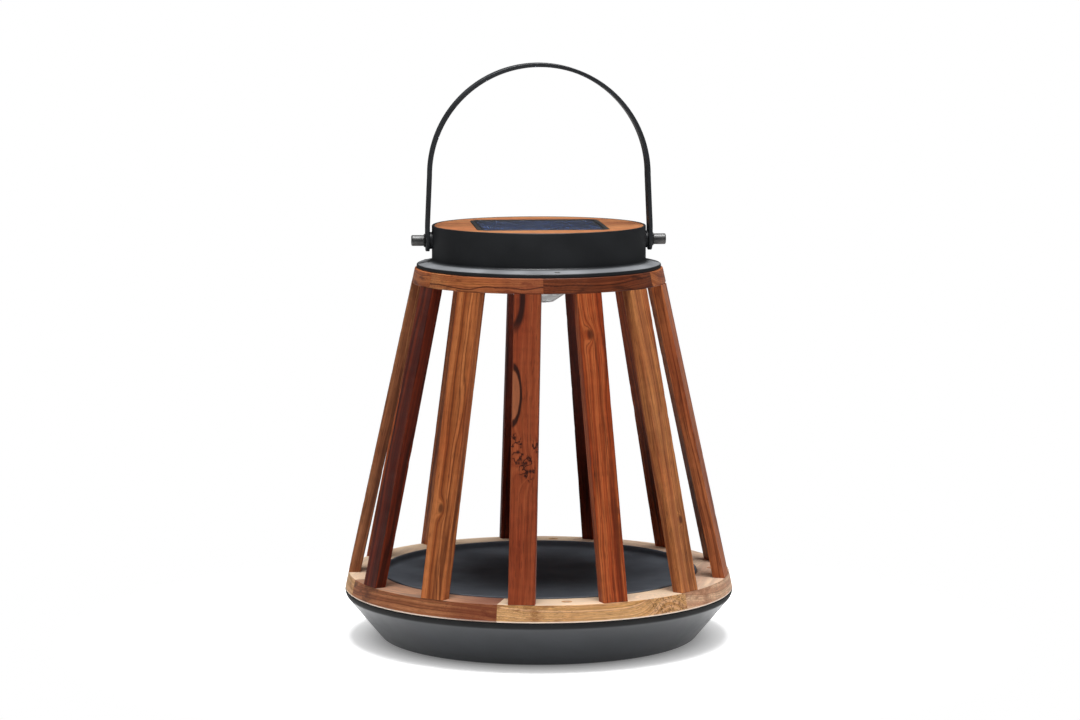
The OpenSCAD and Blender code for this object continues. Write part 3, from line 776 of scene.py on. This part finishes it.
def slat_shape(i):
    """A planed board, butted level against both rings, with eased edges that bear slight dents of wear."""
    ease = 0.8
    bow_depth, wear_depth = 0.12 * MM, 0.35 * MM
    w, t = SLAT_W / 2, SLAT_T / 2
    section = rounded([(-w, -t, ease), (w, -t, ease), (w, t, ease), (-w, t, ease)], 4)
    steps = 120
    loops = []
    for k in range(steps + 1):
        loop = []
        for x, y in section:
            low = (RING_TOP_Z - RING_Z + y * math.sin(LEAN)) / math.cos(LEAN)
            high = (NECK_Z - RING_Z + y * math.sin(LEAN)) / math.cos(LEAN)
            z = low + (high - low) * k / steps
            bow = bow_depth * noise.noise(Vector((x * 60, y * 60, z * 28 + 7.3 * i)))
            corner = min(1, max(0, (abs(x) / w + abs(y) / t - 1.7) / 0.2))
            dent = noise.noise(Vector((x * 400 + i, y * 400, z * 160 + 3.1 * i)))
            wear = wear_depth * corner * max(0, dent - 0.25)
            side = 1 if x > 0 else -1
            loop.append((x * (1 - wear / w) + side * bow / 2, y * (1 - wear / t), z))
        loops.append(loop)
    return skin(loops)


def line_mask(s, x, z, cx, cz, half_w, half_h, thick):
    """Two masks: 1 on an ellipse's right half, drawn as a line of that thickness, and 1 inside it."""
    ex = s.math("DIVIDE", s.minus(x, cx * MM), half_w * MM)
    ez = s.math("DIVIDE", s.minus(z, cz * MM), half_h * MM)
    far = s.length(ex, ez)
    off = s.math("ABSOLUTE", s.minus(far, 1))
    line = s.spread(off, thick / half_w, 0.35 * thick / half_w)
    return s.times(line, s.spread(ex, -0.1, 0.15)), s.spread(far, 1.0, 0.8)


def resin_line(s, look, x, y, z, fibre):
    """The front slat's black resin line, bowed like a D round a pale patch, with a dark run above."""
    front = s.spread(y, -3.2 * MM, -3.9 * MM)
    frayed_x = s.math("ADD", x, s.times(s.minus(fibre, 0.5), 1.2 * MM))
    line, inside = line_mask(s, frayed_x, z, -8.6, 150, 5.6, 19, 1.1)
    look = s.stain(look, s.times(inside, front), 0.4, "#a9714f")
    run = line_mask(s, frayed_x, z, -12.5, 214, 9.5, 22, 2.8)[0]
    run = s.times(run, s.spread(z, 186 * MM, 200 * MM))
    marks = s.times(s.math("MAXIMUM", line, run), front)
    return s.stain(look, marks, 0.93, "#1c0806")


def make_slats():
    """The thirteen leaning slats."""
    for i in range(SLAT_COUNT):
        name = f"slat_board_{i + 1:02d}"
        front = i == 0
        wood = timber(
            name, SLAT_TONES[i], 23.7 + 3.9 * i,
            knots=SLAT_KNOTS.get(i, ()), burls=SLAT_BURLS.get(i, ()), burl_look=(170, 1.0),
            streak=0.35 if front else 1.0, extra=resin_line if front else None,
        )
        make(name, slat_shape(i), wood, [f"slat_{i + 1:02d}"], slat_place(i))


# ---- Screws ----

CAP_SCREW_HEAD = 1.1 * MM


def cross_head(radius, height, dome):
    """A screw head about Z with a cross recess; z = 0 is its seat."""
    rim_z = height * 0.45
    swell = height * (0.55 if dome else 0.12)
    top = rim_z + swell
    outline = [(0, 0), (radius * 0.97, 0), (radius, height * 0.2), (radius, rim_z)]
    for k in range(1, 8):
        a = math.pi / 2 * k / 8
        outline.append((radius * math.cos(a), rim_z + swell * math.sin(a)))
    outline.append((0, top))
    head = add_object("head", mesh_of("head", lathe(outline, 40)))
    arm, width = radius * 0.55, radius * 0.17
    for x, y in ((arm, width), (width, arm)):
        corners = [(-x, -y), (x, -y), (x, y), (-x, y)]
        floor = [(0.8 * cx, 0.8 * cy, top - height * 0.45) for cx, cy in corners]
        mouth = [(cx, cy, top + height) for cx, cy in corners]
        carve(head, skin([floor, mouth]))
    verts = [tuple(v.co) for v in head.data.vertices]
    faces = [tuple(p.vertices) for p in head.data.polygons]
    bpy.data.objects.remove(head)
    return verts, faces


def set_screws(name, node, head, shank, gaps, at_r, z):
    """Copies of one screw in gaps between slats; a shank is its radius and its lowest and highest z."""
    r, low, high = shank
    screw = joined([head, lathe([(0, low), (r, low), (r, high), (0, high)], 24)])
    places = [turn(gap_angle(k)) @ Matrix.Translation((0, -at_r, z)) for k in gaps]
    make(name, joined([placed(screw, p) for p in places]), DARK_SCREW, [node])


def make_screws():
    """Cap screws with domed cross heads, and the lower ring's sunk screws."""
    lo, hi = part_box("cap_screws")
    seat_z = hi.z - CAP_SCREW_HEAD
    head = cross_head(2.4 * MM, CAP_SCREW_HEAD, True)
    shank = (1.5 * MM, lo.z - seat_z, 0)
    set_screws("cap_fixings", "cap_screws", head, shank, CAP_SCREW_GAPS, CAP_SCREW_AT_R, seat_z)

    lo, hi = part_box("ring_screws")
    sunk = Matrix.Translation((0, 0, -1.7 * MM))
    head = placed(cross_head(2.9 * MM, 1.2 * MM, False), sunk)
    shank = (1.6 * MM, lo.z - hi.z, -2 * MM)
    set_screws("ring_fixings", "ring_screws", head, shank, RING_SCREW_GAPS, RING_SCREW_AT_R, hi.z)


# ---- Cap ----

def square_loop(half, corner, z):
    """A rounded square about the axis, as a loop with as many points as polar_loop's."""
    return polar_loop(square_radius(half, corner), z)


def square_stack(half, corner, steps):
    """A solid of rounded squares, one above another; each step is an inset and a height."""
    return skin([square_loop(half - inset, corner - inset, z) for inset, z in steps])


def make_cap():
    """The coated cap: flange with a rounded rim, filleted drum and the ledge inside it."""
    lo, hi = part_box("cap_shell")
    floor_z = hi.z - 25.5 * MM
    bore, ledge_r, ledge_t = 60 * MM, 66 * MM, 1 * MM
    drum, wall = 73.8 * MM, 1.5 * MM
    edge, rise = 2.6 * MM, 2.4 * MM
    ledge_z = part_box("top_disc")[0].z
    inside = drum - wall
    corners = [
        (bore, lo.z, 0.3),
        (hi.x, lo.z, 0.6), (hi.x, lo.z + edge, 0.8),
        (drum, lo.z + edge + rise, 1.6), (drum, hi.z, 0.7),
        (inside, hi.z, 0.7), (inside, ledge_z, 0),
        (ledge_r, ledge_z, 0.2), (ledge_r, ledge_z - ledge_t, 0.2),
        (inside, ledge_z - ledge_t, 0), (inside, floor_z, 0),
        (bore, floor_z, 0.3),
    ]
    make("cap_drum", lathe(rounded(corners, 6), 240), CAP_COAT, ["cap_shell"])


def make_disc():
    """The timber disc with its square cut-out, edges eased."""
    lo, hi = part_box("top_disc")
    ease = 0.4 * MM
    support = 1.3 * ease
    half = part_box("panel_bezel")[1].x + 0.2 * MM
    corner = 8.2 * MM
    quarter = [math.pi / 2 * k / 4 for k in range(5)]
    low_r, low_z = hi.x - ease, hi.z - ease
    loops = [polar_loop(low_r + ease * math.cos(a), low_z + ease * math.sin(a)) for a in quarter]
    loops.append(polar_loop(hi.x - support, hi.z))
    loops.append(square_loop(half + support, corner + support, hi.z))
    for a in quarter:
        grow = ease * (1 - math.sin(a))
        loops.append(square_loop(half + grow, corner + grow, low_z + ease * math.cos(a)))
    loops += [square_loop(half, corner, lo.z), polar_loop(hi.x, lo.z)]
    wood = timber("top_board", "disc", 71.3, "X", level=lo.z, streak=0.7)
    make("top_board", skin(loops, closed=True), wood, ["top_disc"])


def make_cells(hi):
    """Six strips with cut corners, and a ribbon down the middle of each; hi is their box's far corner."""
    strips = 6
    gap, cut = 0.35 * MM, 1.2 * MM
    half_ribbon = 0.35 * MM
    inner = hi.x - 1.2 * MM
    pitch = 2 * inner / strips
    cells, ribbons = [], []
    for k in range(strips):
        y = -inner + pitch * (k + 0.5)
        loops = []
        for inset, z in ((0, hi.z - 0.35 * MM), (0, hi.z - 0.2 * MM), (0.08 * MM, hi.z - 0.12 * MM)):
            w, d = inner - inset, pitch / 2 - gap - inset
            loops.append([
                (-w + cut, y - d, z), (w - cut, y - d, z), (w, y - d + cut, z), (w, y + d - cut, z),
                (w - cut, y + d, z), (-w + cut, y + d, z), (-w, y + d - cut, z), (-w, y - d + cut, z),
            ])
        cells.append(skin(loops))
        low, high = y - half_ribbon, y + half_ribbon
        plan = [(-inner, low), (inner, low), (inner, high), (-inner, high)]
        levels = (hi.z - 0.13 * MM, hi.z - 0.04 * MM)
        ribbons.append(skin([[(px, py, z) for px, py in plan] for z in levels]))
    make("cell_strips", joined(cells), CELLS)
    make("cell_ribbons", joined(ribbons), RIBBON)


def make_panel():
    """Bezel with a chamfered border, cell strips on their backing, and the clear cover."""
    lo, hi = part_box("panel_bezel")
    corner, border, floor = 8 * MM, 3 * MM, 1.2 * MM
    frame_shape = square_stack(hi.x, corner, (
        (0.3 * MM, lo.z), (0, lo.z + 0.3 * MM), (0, hi.z - 0.5 * MM), (0.12 * MM, hi.z - 0.18 * MM),
        (0.45 * MM, hi.z), (border - 0.5 * MM, hi.z), (border - 0.1 * MM, hi.z - 0.2 * MM),
        (border, hi.z - 0.6 * MM), (border, lo.z + floor),
    ))
    make("panel_frame", frame_shape, BLACK_ABS, ["panel_bezel"])

    corner -= border
    lo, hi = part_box("solar_cells")
    backing = square_stack(hi.x - 0.05 * MM, corner, ((0, lo.z), (0, hi.z - 0.35 * MM)))
    make("cell_backing", backing, BLACK_ABS, ["solar_cells"])
    make_cells(hi)

    lo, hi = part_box("panel_cover")
    cover = square_stack(hi.x - 0.03 * MM, corner, (
        (0, lo.z + 0.02 * MM), (0, hi.z - 0.15 * MM), (0.05 * MM, hi.z - 0.04 * MM), (0.2 * MM, hi.z),
        (0.4 * MM, hi.z),
    ))
    glaze = make("panel_glaze", cover, COVER, ["panel_cover"])
    glaze.visible_shadow = False


def make_lens():
    """The clear lens with a flared foot, and its black collar with grip ribs."""
    lo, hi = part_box("lens")
    wall = 2 * MM
    flare = 6 * MM
    top_r, end_r, lip_r = 19.5 * MM, 10 * MM, hi.x
    lip_z = hi.z - 1.5 * MM
    corners = [
        (0, lo.z, 0),
        (end_r, lo.z, 1.4),
        (top_r - 0.4 * MM, lo.z + flare, 2.2),
        (top_r, lip_z, 0.2), (lip_r, lip_z, 0.2),
        (lip_r, hi.z, 0.2), (top_r - wall, hi.z, 0.2),
        (top_r - wall - 0.4 * MM, lo.z + flare + 0.8 * MM, 1.6),
        (end_r - 1.2 * MM, lo.z + wall, 1),
        (0, lo.z + wall, 0),
    ]
    lens = make("lens_cup", lathe(rounded(corners, 6), 160), LENS, ["lens"])
    lens.visible_shadow = False

    lo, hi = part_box("lens_collar")
    play = 0.02 * MM
    ribs = 48

    def ribbed(r):
        return lambda a: r - 0.35 * MM * max(0, math.cos(a * ribs)) ** 2

    outline = [
        (top_r + play, lo.z + 0.3 * MM),
        (top_r + play + 0.3 * MM, lo.z),
        (hi.x - 0.9 * MM, lo.z),
        (ribbed(hi.x - 0.1 * MM), lo.z + 0.6 * MM),
        (ribbed(hi.x), hi.z - 0.6 * MM),
        (hi.x, hi.z - 0.5 * MM), (hi.x, hi.z),
        (lip_r + play, hi.z), (lip_r + play, lip_z - play),
        (top_r + play, lip_z - play),
    ]
    loops = [polar_loop(r, z, 240) for r, z in outline]
    make("lens_ring", skin(loops, closed=True), BLACK_ABS, ["lens_collar"])


def make_button():
    """The push button with a dished face and its collar."""
    lo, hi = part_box("push_button")
    place = Matrix.Translation((0, (lo.y + hi.y) / 2, 0))
    r, collar = 5 * MM, hi.x
    step_z = hi.z - 1 * MM
    outline = [(0, lo.z + 0.5 * MM), (2.6 * MM, lo.z + 0.2 * MM)]
    outline += rounded([
        (r, lo.z, 0.9), (r, step_z, 0), (collar, step_z, 0.2), (collar, hi.z, 0.2), (0, hi.z, 0),
    ])
    make("button_cap", lathe(outline, 72), BUTTON_ABS, ["push_button"], place, "button")


# ---- Bail ----

STRAP_T = 2.75 * MM
STRAP_W = STRAP_BOX[1].y - STRAP_BOX[0].y
STRAP_IN = STRAP_BOX[1].x - STRAP_T
STRAIGHT = 10 * MM
ARCH_R = 76.7 * MM
ARCH_Z = STRAP_BOX[1].z - ARCH_R
HOLE_R = 2.55 * MM


def strap_path():
    """Points and outward directions down the middle of the strap, from the +X pin to the -X pin."""
    mid_x = STRAP_IN + STRAP_T / 2
    mid_r = ARCH_R - STRAP_T / 2
    rise = ARCH_Z - PIN_Z
    leg = [Vector((mid_x, 0)), Vector((mid_x, STRAIGHT)), Vector((mid_r, rise))]
    lengths = [STRAIGHT, (leg[2] - leg[1]).length, math.pi * mid_r]
    total = 2 * (lengths[0] + lengths[1]) + lengths[2]

    def at(s):
        side = 1 if s <= total / 2 else -1
        s = min(s, total - s)
        if s < lengths[0]:
            point, out = leg[0] + Vector((0, s)), Vector((1, 0))
        elif s < lengths[0] + lengths[1]:
            along = (leg[2] - leg[1]).normalized()
            point = leg[1] + along * (s - lengths[0])
            out = Vector((along.y, -along.x))
        else:
            a = (s - lengths[0] - lengths[1]) / mid_r
            point = Vector((mid_r * math.cos(a), rise + mid_r * math.sin(a)))
            out = Vector((math.cos(a), math.sin(a)))
        return Vector((side * point.x, 0, PIN_Z + point.y)), Vector((side * out.x, 0, out.y))

    return at, total


def flat_strap(total):
    """The strap before bending, as a flat plan with a round hole at each end: corners, each
    (across, along), and faces."""
    half = STRAP_W / 2
    count = 64
    rings = (0.0, 0.12, 0.55, 0.92, 1.0)
    plan, faces = [], []
    ends = []
    for end, flip in ((0, 1), (total, -1)):
        first = len(plan)
        for share in rings:
            for k in range(count):
                a = 2 * math.pi * k / count
                c, s = math.cos(a), math.sin(a)
                far = half if s <= 0 else half / max(abs(c), abs(s))
                r = HOLE_R + (far - HOLE_R) * share
                plan.append((r * c, end + flip * r * s))
        for i in range(len(rings) - 1):
            a, b = first + i * count, first + (i + 1) * count
            for k in range(count):
                n = (k + 1) % count
                face = (a + k, a + n, b + n, b + k)
                faces.append(face if flip > 0 else (a + k, b + k, b + n, a + n))
        outer = first + (len(rings) - 1) * count
        ends.append([outer + k for k in range(count // 8, 3 * count // 8 + 1)])
    steps = 150
    columns = [plan[i][0] for i in ends[0]]
    rows = [ends[0]]
    for k in range(1, steps):
        along = half + (total - 2 * half) * k / steps
        start = len(plan)
        plan += [(x, along) for x in columns]
        rows.append(list(range(start, start + len(columns))))
    rows.append(ends[1])
    for a, b in zip(rows, rows[1:]):
        for k in range(len(columns) - 1):
            faces.append((a[k], b[k], b[k + 1], a[k + 1]))
    return plan, faces


def make_strap():
    """The bail: one flat strip with round, drilled ends, edges rolled, bent into an arch."""
    at, total = strap_path()
    plan, faces = flat_strap(total)
    count = len(plan)
    verts = [(x, s, -STRAP_T / 2) for x, s in plan] + [(x, s, STRAP_T / 2) for x, s in plan]
    solid = [tuple(reversed(f)) for f in faces] + [tuple(i + count for i in f) for f in faces]
    edges = {}
    for f in faces:
        for pair in zip(f, f[1:] + f[:1]):
            edges.setdefault(frozenset(pair), []).append(pair)
    for pairs in edges.values():
        if len(pairs) == 1:
            a, b = pairs[0]
            solid.append((a, b, b + count, a + count))
    mesh = bmesh.new()
    made = [mesh.verts.new(v) for v in verts]
    for f in solid:
        mesh.faces.new([made[i] for i in f])
    bmesh.ops.recalc_face_normals(mesh, faces=mesh.faces)
    rims = [e for e in mesh.edges if len(e.link_faces) == 2 and e.calc_face_angle(0) > 1.2]
    bmesh.ops.bevel(mesh, geom=rims, offset=0.45 * MM, segments=3, profile=0.5, affect="EDGES")
    bent = []
    for v in mesh.verts:
        point, out = at(v.co.y)
        bent.append(tuple(point + out * v.co.z + Vector((0, v.co.x, 0))))
    mesh.verts.index_update()
    shape = bent, [tuple(v.index for v in f.verts) for f in mesh.faces]
    mesh.free()
    make("bail_bar", shape, COAT, ["bail_strap"], body="bail", sharp=45)


def make_pins():
    """Knobs with a rounded, dished end and a turned shoulder, and the washers under them."""
    start, end = 66.5 * MM, BOLT_BOX[1].x
    knob_r, knob_x = BOLT_BOX[1].y, end - 8.6 * MM
    dish_x = end - 0.25 * MM
    shoulder_x = STRAP_IN - 0.2 * MM
    thread_r, shoulder_r = 2 * MM, 2.5 * MM
    knob = rounded([
        (0, start, 0), (thread_r, start, 0.4), (thread_r, shoulder_x, 0),
        (shoulder_r, shoulder_x, 0.1), (shoulder_r, knob_x, 0), (knob_r, knob_x, 0.35),
        (knob_r, end, 0.8), (knob_r * 0.55, end, 0.2), (knob_r * 0.45, dish_x, 0.2),
        (0, dish_x, 0),
    ])
    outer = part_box("bail_washers")[1]
    inner_x, bore = outer.x - 0.95 * MM, 2.52 * MM
    washer = rounded([
        (bore, inner_x, 0.1), (outer.y, inner_x, 0.25),
        (outer.y, outer.x, 0.25), (bore, outer.x, 0.1),
    ], 3)
    flat = Matrix.Translation((0, 0, PIN_Z)) @ Matrix.Rotation(math.pi / 2, 4, "Y")
    places = {"right": turn(0) @ flat, "left": turn(180) @ flat}
    for side, place in places.items():
        replaced = ["bail_bolts"] if side == "right" else []
        make(f"knob_{side}", lathe(knob, 72), KNOB, replaced, place)
    washers = [placed(lathe(washer, 60), place) for place in places.values()]
    make("pin_washers", joined(washers), RUBBER, ["bail_washers"])


# ---- The rest of the CAD pieces keep their shape and get real finishes ----

def paint(material, *nodes):
    """Gives carried-over CAD nodes a finish."""
    for node in nodes:
        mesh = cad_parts[node].data
        mesh.materials.clear()
        mesh.materials.append(material)
        mesh.polygons.foreach_set("material_index", [0] * len(mesh.polygons))


def paint_rest():
    """Finishes for the pieces inside and below, and for the bosses."""
    paint(DARK_SCREW, "tray_screws", "slat_screws_lower", "slat_screws_upper")
    paint(PLATED, "tray_posts", "ring_nuts", "module_screws", "battery_contacts")
    paint(PLATED, "switch_body", "bail_nuts")
    paint(RUBBER, "cap_gasket")
    paint(COAT, "bail_bosses")
    paint(BLACK_ABS, "module_housing", "battery_holder")
    paint(plastic("battery_sleeve", "#557a45", 0.3), "battery_cell")
    paint(circuit("green_mask", "#1c5a3a"), "circuit_board")
    paint(circuit("white_mask", "#dadcd8"), "lamp_board")
    paint(glow_resin(), "light_emitters")
    paint(plastic("red_insulation", "#9c2020", 0.45), "panel_leads")
    paint(plastic("black_insulation", "#1b1b1b", 0.45), "lamp_leads")


# ---- Stage, light and camera ----

def make_floor():
    """A plain white floor with a painted glow, weaker close under the lantern as a painted contact shadow,
    that fades into the white surroundings.
    """
    s = Shader("studio_floor")
    soft = s.noise(s.place, 3, 2)
    s.set(Base_Color=grey(s, s.spread(soft, 0.3, 0.7, 0.9, 0.92)), Roughness=0.9, Specular_IOR_Level=0.1)
    x, y, _ = s.split(s.place)
    away = s.length(x, y)
    # Painted shadow: the floor's glow is weaker close under the lantern, standing in for a contact shadow.
    s.set(Emission_Color="#ffffff", Emission_Strength=s.spread(away, 0.1, 0.145, 0.16, 0.78))
    gone = s.add("BsdfTransparent").outputs[0]
    fade = s.add("MixShader", {0: s.spread(away, 0.2, 0.34), 1: s.surface.outputs[0], 2: gone})
    s.feed(s.tree.nodes["Material Output"].inputs["Surface"], fade.outputs[0])
    half = 0.4
    corners = [(-half, -half, 0), (half, -half, 0), (half, half, 0), (-half, half, 0)]
    floor = add_object("floor", mesh_of("floor", (corners, [(0, 1, 2, 3)])))
    floor.data.materials.append(s.material)


def add_light(name, place, aim, size, watts, mirrored=True):
    """A rectangular soft box that faces a point; unless mirrored, it shows in no reflection."""
    data = bpy.data.lights.new(name, "AREA")
    data.shape = "RECTANGLE"
    data.size, data.size_y = size
    data.energy = watts
    lamp = add_object(name, data)
    lamp.visible_glossy = mirrored
    lamp.visible_transmission = mirrored
    lamp.location = place
    lamp.rotation_euler = (Vector(aim) - Vector(place)).to_track_quat("-Z", "Y").to_euler()


def make_world():
    """White surroundings; what they give the lantern is dim at the sides and bright behind and below."""
    world = bpy.data.worlds.new("studio")
    bpy.context.scene.world = world
    n = Nodes(world)
    _, y, z = n.split(n.add("TexCoord").outputs["Generated"])
    high = n.spread(z, 0.25, 0.5, 0.04, 0.2)
    behind = n.times(n.spread(y, 0.1, 0.6), high)
    below = n.spread(z, -0.14, -0.35)
    glow = n.math("MAXIMUM", n.math("MAXIMUM", behind, 0.05), below)
    seen = n.add("LightPath").outputs["Is Camera Ray"]
    background = n.tree.nodes["Background"]
    n.feed(background.inputs["Strength"], n.math("MAXIMUM", glow, seen))
    n.feed(background.inputs["Color"], "#ffffff")


def light_scene():
    """Soft boxes: a large one overhead and two high ones over the front corners."""
    make_world()
    centre = (0, 0, 0.15)
    add_light("top", (0, -0.22, 1.7), centre, (0.8, 0.8), 40)
    add_light("left", (-1.2, -2.0, 0.75), centre, (1.0, 0.6), 2, mirrored=False)
    add_light("right", (1.4, -2.0, 0.75), centre, (1.1, 0.6), 7, mirrored=False)
    bpy.context.scene.view_settings.view_transform = "Standard"


def make_camera():
    """A long lens a little above the lantern, 5 degrees round to its left."""
    data = bpy.data.cameras.new("camera")
    data.sensor_width = 36
    data.lens = 112.1
    camera = add_object("camera", data)
    away, height, drift = 2.313, 0.4405, 0.0008
    turned, tilt = math.radians(-5), math.radians(6.95)
    side = Vector((math.cos(turned), math.sin(turned), 0))
    spot = Vector((math.sin(turned) * away, -math.cos(turned) * away, RING_Z + height))
    camera.location = spot + side * drift
    camera.rotation_euler = (math.pi / 2 - tilt, 0, turned)
    bpy.context.scene.camera = camera


make_camera()
make_bowl()
make_tray()
make_pads()
make_rings()
make_slats()
make_screws()
make_cap()
make_disc()
make_panel()
make_lens()
make_button()
make_strap()
make_pins()
paint_rest()
make_floor()
light_scene()
